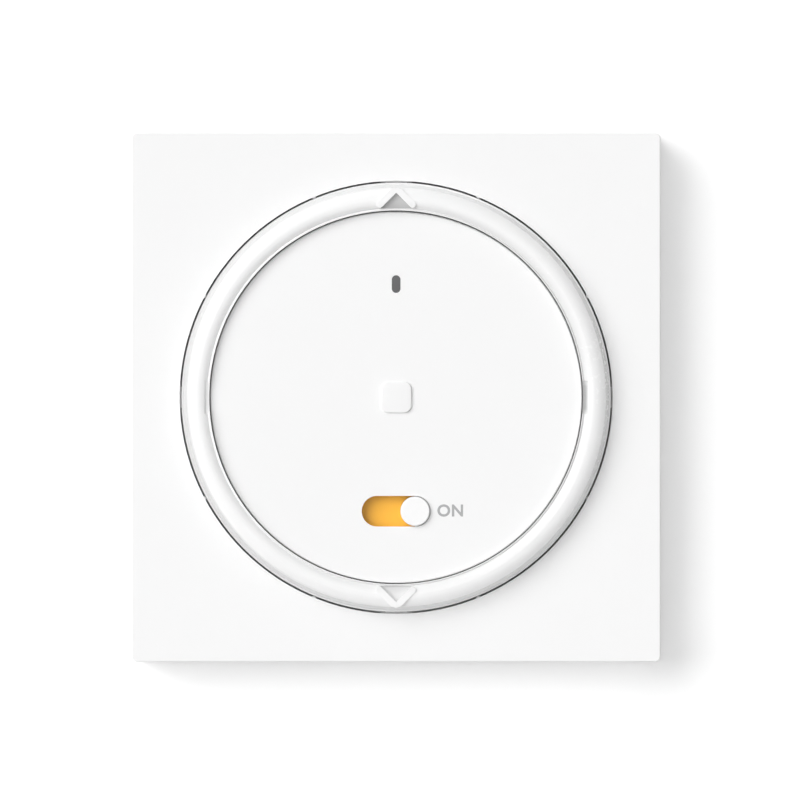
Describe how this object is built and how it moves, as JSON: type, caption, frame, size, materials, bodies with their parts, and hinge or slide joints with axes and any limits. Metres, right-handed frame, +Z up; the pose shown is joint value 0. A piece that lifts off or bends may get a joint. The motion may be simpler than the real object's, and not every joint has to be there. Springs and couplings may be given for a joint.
{
  "type": "wall remote control",
  "caption": "Square wall remote: flat cover frame, convex tilting rocker ring with chevrons, push-in centre button and slide switch, on a clip-in coin-cell module.",
  "frame": {"origin": "centre of the wall-screw pattern, on the wall plane", "axes": "+Z up as hung on the wall, +Y into the wall, +X to the user's right; the front looks along -Y"},
  "size_m": [0.08, 0.0135, 0.08],
  "materials": {
    "wall_plate": "moulded, fine matt",
    "module_clips": "bent spring strip",
    "clip_rivets": "turned, plain",
    "decor_frame": "moulded, satin white",
    "rear_housing": "moulded, matt light grey",
    "battery_cover": "moulded, matt light grey",
    "coin_cell": "nickel-plated can",
    "battery_contact_plus": "plated spring strip",
    "battery_contact_minus": "plated spring strip",
    "pcb": "green solder mask",
    "rf_shield": "tinned sheet",
    "microcontroller": "moulded black",
    "crystal": "plated can",
    "indicator_led": "clear over yellow",
    "capacitors": "brown chips",
    "antenna": "plated strip",
    "pairing_switch": "moulded black",
    "pairing_plunger": "moulded white",
    "pairing_button": "moulded grey",
    "contact_pads": "gold-plated",
    "front_chassis": "moulded dark grey",
    "chassis_screws": "zinc-plated",
    "up_key_dome": "translucent silicone",
    "down_key_dome": "translucent silicone",
    "stop_key_mat": "translucent silicone",
    "rocker_ring": "polished white",
    "centre_button": "satin white",
    "indicator_lens": "smoked",
    "slider_knob": "satin white",
    "slider_flag": "warm yellow",
    "slider_wiper": "spring bronze"
  },
  "bodies": {
    "wall_plate": {"wall_plate": "wall_plate", "module_clips": "module_clips", "clip_rivets": "clip_rivets"},
    "cover_frame": {"decor_frame": "decor_frame"},
    "module": {"rear_housing": "rear_housing", "coin_cell": "coin_cell", "battery_contact_plus": "battery_contact_plus", "battery_contact_minus": "battery_contact_minus", "pcb": "pcb", "rf_shield": "rf_shield", "microcontroller": "microcontroller", "crystal": "crystal", "indicator_led": "indicator_led", "capacitors": "capacitors", "antenna": "antenna", "pairing_switch": "pairing_switch", "contact_pads": "contact_pads", "front_chassis": "front_chassis", "chassis_screws": "chassis_screws", "up_key_dome": "up_key_dome", "down_key_dome": "down_key_dome", "stop_key_mat": "stop_key_mat"},
    "rocker_ring": {"rocker_ring": "rocker_ring"},
    "centre_button": {"centre_button": "centre_button", "indicator_lens": "indicator_lens"},
    "slider": {"slider_knob": "slider_knob", "slider_flag": "slider_flag", "slider_wiper": "slider_wiper"},
    "pairing_button": {"pairing_button": "pairing_button", "pairing_plunger": "pairing_plunger"},
    "battery_cover": {"battery_cover": "battery_cover"}
  },
  "joints": [
    {"name": "ring_tilt", "type": "hinge", "parent": "module", "child": "rocker_ring", "pos_m": [0, -0.0099, 0], "axis": [1, 0, 0], "range_deg": [-1, 1], "stiffness_Nm_per_rad": 1.5, "deforming": ["up_key_dome", "down_key_dome"]},
    {"name": "button_press", "type": "slide", "parent": "module", "child": "centre_button", "axis": [0, 1, 0], "range_m": [0, 0.0004], "stiffness_N_per_m": 3000, "deforming": ["stop_key_mat"]},
    {"name": "slider_slide", "type": "slide", "parent": "module", "child": "slider", "axis": [1, 0, 0], "range_m": [-0.00576, 0]},
    {"name": "pairing_press", "type": "slide", "parent": "module", "child": "pairing_button", "axis": [0, -1, 0], "range_m": [0, 0.0003], "stiffness_N_per_m": 3000},
    {"name": "battery_cover_twist", "type": "hinge", "parent": "module", "child": "battery_cover", "pos_m": [0, -0.002, -0.008], "axis": [0, 1, 0], "range_deg": [0, 35]},
    {"name": "module_pull", "type": "slide", "parent": "wall_plate", "child": "module", "axis": [0, -1, 0], "range_m": [0, 0.025], "deforming": ["module_clips"]},
    {"name": "frame_pull", "type": "slide", "parent": "wall_plate", "child": "cover_frame", "axis": [0, -1, 0], "range_m": [0, 0.015]}
  ]
}
